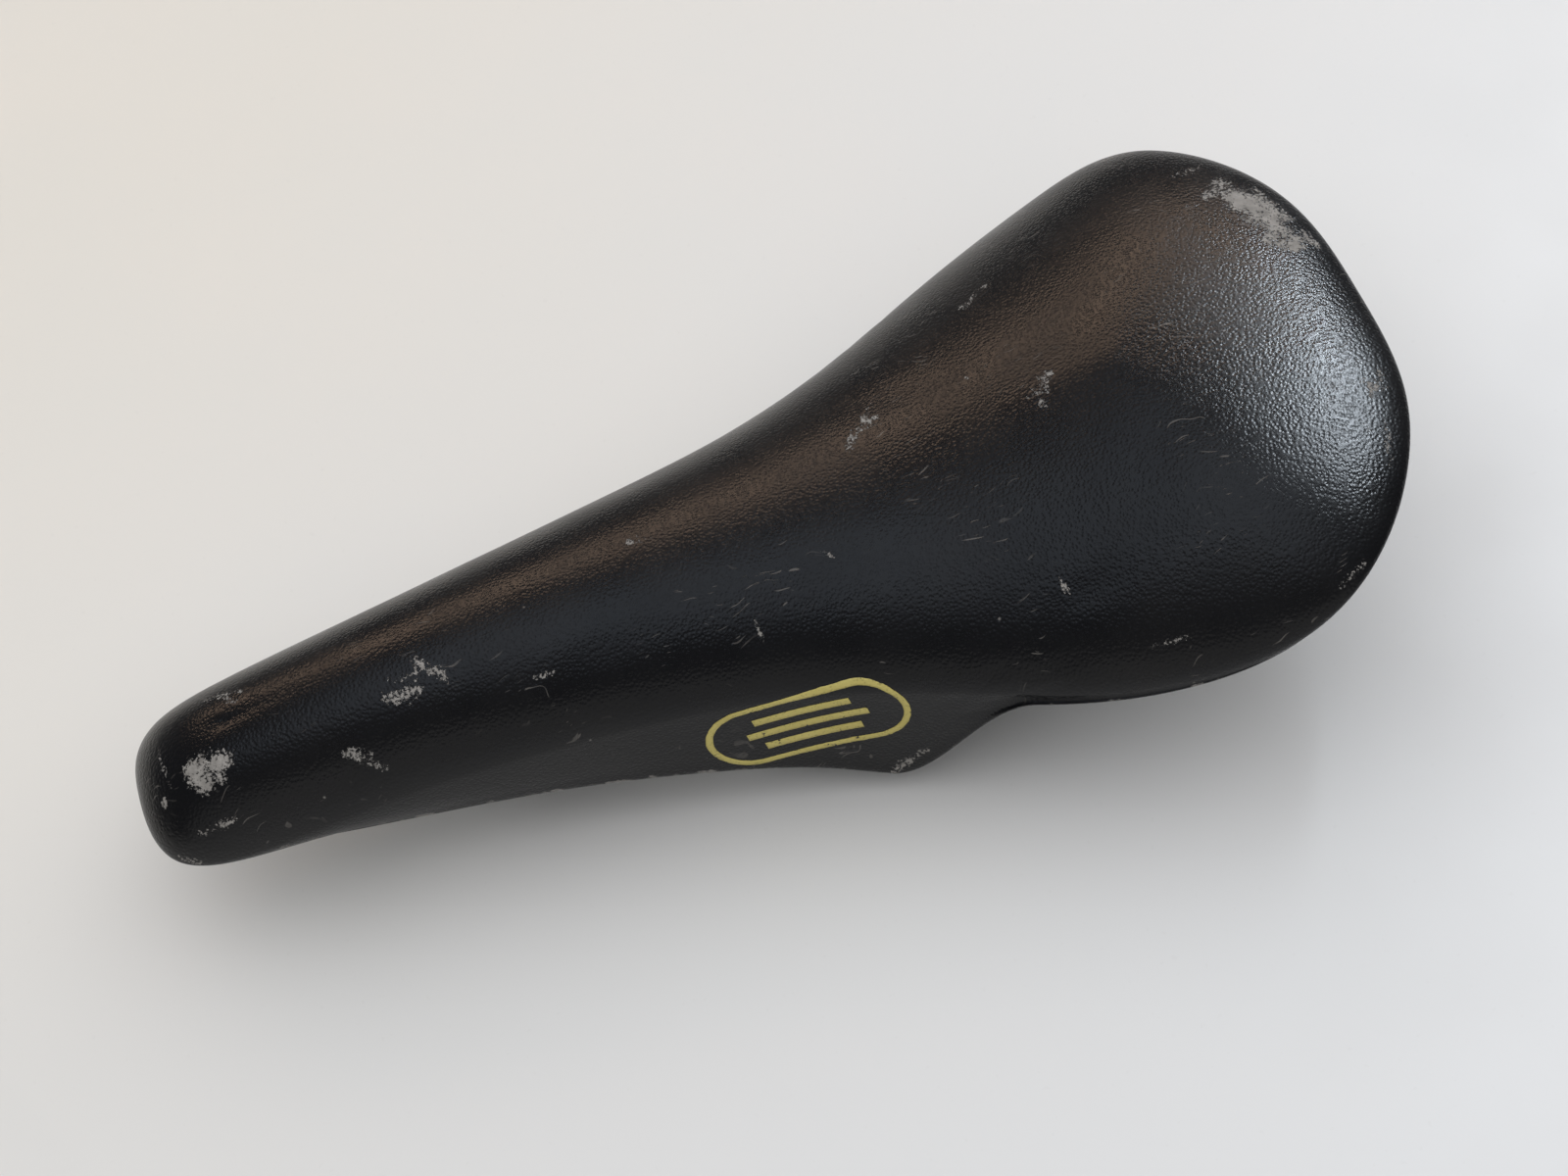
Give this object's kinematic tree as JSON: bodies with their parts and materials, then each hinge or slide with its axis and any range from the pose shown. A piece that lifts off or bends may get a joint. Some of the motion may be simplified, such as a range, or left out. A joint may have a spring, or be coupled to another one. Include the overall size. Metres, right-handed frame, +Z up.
{
  "type": "bicycle saddle",
  "caption": "Slim racing bicycle saddle: a leather cover over thin foam on a moulded shell, with side lobes, and twin round rails held by riveted nose and tail clamps.",
  "frame": {"origin": "centre of the saddle's length and width, at the underside of the rails", "axes": "+Y along the saddle from nose to tail, +X to the rider's left, +Z up"},
  "size_m": [0.1366, 0.275, 0.0651],
  "materials": {
    "leather": "fine pebble grain, semi-gloss, scuffed",
    "foam": "matt closed-cell foam",
    "nylon": "satin moulded nylon",
    "rail_steel": "bright chrome plate with light clamp marks",
    "plate_steel": "zinc-plated pressed steel",
    "rivet_steel": "plated steel rivets",
    "foil": "worn gold foil"
  },
  "bodies": {
    "root": {"leather_cover": "leather", "foam_pad": "foam", "shell": "nylon", "rail_left": "rail_steel", "rail_right": "rail_steel", "nose_bracket": "plate_steel", "nose_clamp": "plate_steel", "nose_rivets": "rivet_steel", "nose_washers": "rivet_steel", "tail_bridge": "plate_steel", "tail_clamp_left": "plate_steel", "tail_clamp_right": "plate_steel", "tail_rivets_left": "rivet_steel", "tail_rivets_right": "rivet_steel", "tail_washers_left": "rivet_steel", "tail_washers_right": "rivet_steel", "foil_mark_left": "foil", "foil_mark_right": "foil"}
  },
  "joints": []
}
